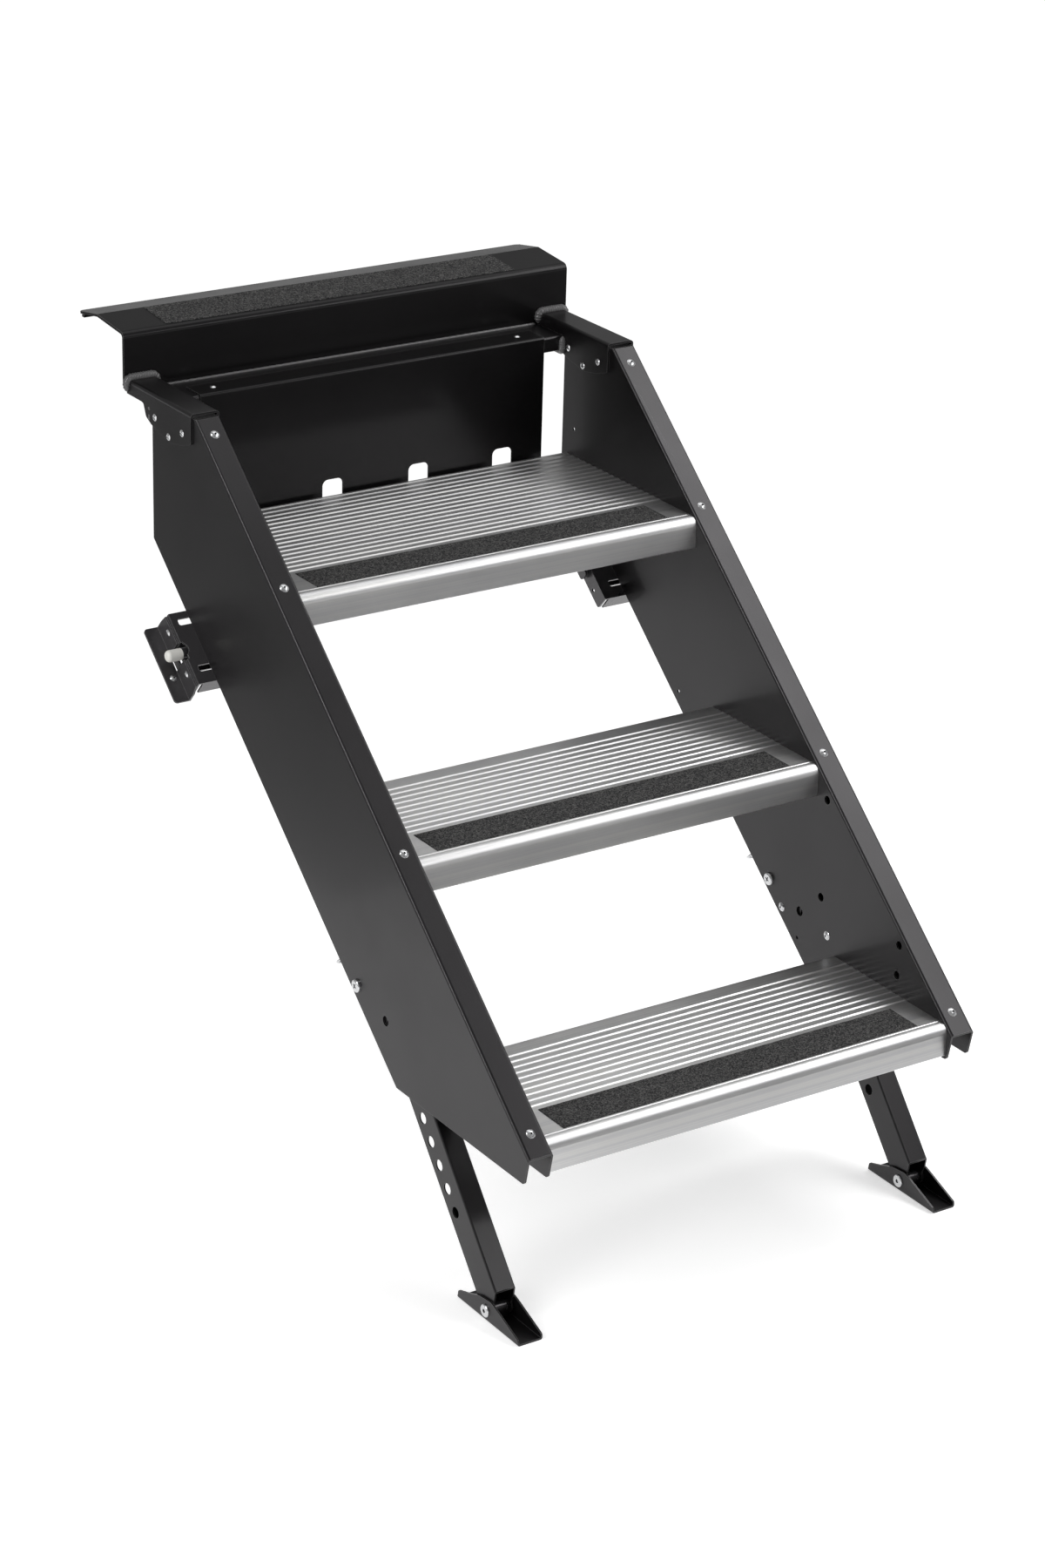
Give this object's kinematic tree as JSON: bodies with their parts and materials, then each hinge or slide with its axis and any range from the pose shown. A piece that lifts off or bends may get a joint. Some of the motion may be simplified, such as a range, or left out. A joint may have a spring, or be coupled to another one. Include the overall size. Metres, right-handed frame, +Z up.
{
  "type": "camper entry step",
  "caption": "Folding camper entry step: ribbed aluminium treads between sloping steel rails, hinged threshold plate, telescoping legs with tilting feet.",
  "frame": {"origin": "middle of the fixed hinge leaf's underside, on the vehicle floor", "axes": "+X right across the doorway, +Y into the vehicle, +Z up"},
  "size_m": [0.6406, 0.9182, 0.8454],
  "materials": {
    "black_powder_coat": "satin powder coat",
    "mill_aluminium": "mill",
    "grit_strip": "coarse grit",
    "zinc_steel": "zinc plated",
    "white_nylon": "satin"
  },
  "bodies": {
    "floor_leaf": {"floor_hinge_leaf": "zinc_steel", "hinge_pin": "zinc_steel"},
    "step": {"moving_hinge_leaf": "black_powder_coat", "lip_packing_strip": "black_powder_coat", "threshold_plate": "black_powder_coat", "crossbar": "black_powder_coat", "kick_panel": "black_powder_coat", "top_tread": "mill_aluminium", "middle_tread": "mill_aluminium", "bottom_tread": "mill_aluminium", "top_tread_grip": "grit_strip", "middle_tread_grip": "grit_strip", "bottom_tread_grip": "grit_strip", "threshold_grip": "grit_strip", "tread_cleats": "black_powder_coat", "tread_cleat_rivets": "zinc_steel", "flange_rivets": "zinc_steel", "arm_rivets": "zinc_steel", "kick_panel_rivets": "zinc_steel", "web_rivets": "zinc_steel", "leg_guide_screws": "zinc_steel", "latch_rivets": "zinc_steel", "arm_welds": "black_powder_coat", "left_rail": "black_powder_coat", "right_rail": "black_powder_coat", "left_arm": "black_powder_coat", "right_arm": "black_powder_coat", "left_leg_guide": "zinc_steel", "right_leg_guide": "zinc_steel", "left_lock_barrel": "zinc_steel", "right_lock_barrel": "zinc_steel", "left_latch_bracket": "black_powder_coat", "right_latch_bracket": "black_powder_coat", "left_catch_plate": "black_powder_coat", "right_catch_plate": "black_powder_coat", "left_latch_spring": "zinc_steel", "right_latch_spring": "zinc_steel"},
    "left_leg_body": {"left_leg": "black_powder_coat"},
    "left_foot_body": {"left_foot": "black_powder_coat", "left_foot_pin": "zinc_steel", "left_foot_spacer": "black_powder_coat"},
    "left_plunger_body": {"left_lock_plunger": "zinc_steel", "left_lock_pull_ring": "zinc_steel"},
    "left_bolt_body": {"left_latch_bolt": "white_nylon", "left_latch_pull": "black_powder_coat"},
    "right_leg_body": {"right_leg": "black_powder_coat"},
    "right_foot_body": {"right_foot": "black_powder_coat", "right_foot_pin": "zinc_steel", "right_foot_spacer": "black_powder_coat"},
    "right_plunger_body": {"right_lock_plunger": "zinc_steel", "right_lock_pull_ring": "zinc_steel"},
    "right_bolt_body": {"right_latch_bolt": "white_nylon", "right_latch_pull": "black_powder_coat"}
  },
  "joints": [
    {"name": "step_swing", "type": "hinge", "parent": "floor_leaf", "child": "step", "pos_m": [0, 0.0304, 0.0035], "axis": [-1, 0, 0], "range_deg": [0, 130]},
    {"name": "left_leg_slide", "type": "slide", "parent": "step", "child": "left_leg_body", "axis": [0, 0.6394, 0.7688], "range_m": [0, 0.1524]},
    {"name": "left_foot_tilt", "type": "hinge", "parent": "left_leg_body", "child": "left_foot_body", "pos_m": [-0.2647, -0.81536, -0.8143], "axis": [1, 0, 0], "range_deg": [-25, 25]},
    {"name": "left_lock_pull", "type": "slide", "parent": "step", "child": "left_plunger_body", "axis": [0, 0.7688, -0.6394], "range_m": [0, 0.01], "stiffness_N_per_m": 400, "springref_m": -0.005},
    {"name": "left_latch_slide", "type": "slide", "parent": "step", "child": "left_bolt_body", "axis": [1, 0, 0], "range_m": [0, 0.012], "stiffness_N_per_m": 300, "springref_m": -0.008, "deforming": ["left_latch_spring"]},
    {"name": "right_leg_slide", "type": "slide", "parent": "step", "child": "right_leg_body", "axis": [0, 0.6394, 0.7688], "range_m": [0, 0.1524]},
    {"name": "right_foot_tilt", "type": "hinge", "parent": "right_leg_body", "child": "right_foot_body", "pos_m": [0.2647, -0.81536, -0.8143], "axis": [1, 0, 0], "range_deg": [-25, 25]},
    {"name": "right_lock_pull", "type": "slide", "parent": "step", "child": "right_plunger_body", "axis": [0, 0.7688, -0.6394], "range_m": [0, 0.01], "stiffness_N_per_m": 400, "springref_m": -0.005},
    {"name": "right_latch_slide", "type": "slide", "parent": "step", "child": "right_bolt_body", "axis": [-1, 0, 0], "range_m": [0, 0.012], "stiffness_N_per_m": 300, "springref_m": -0.008, "deforming": ["right_latch_spring"]}
  ]
}
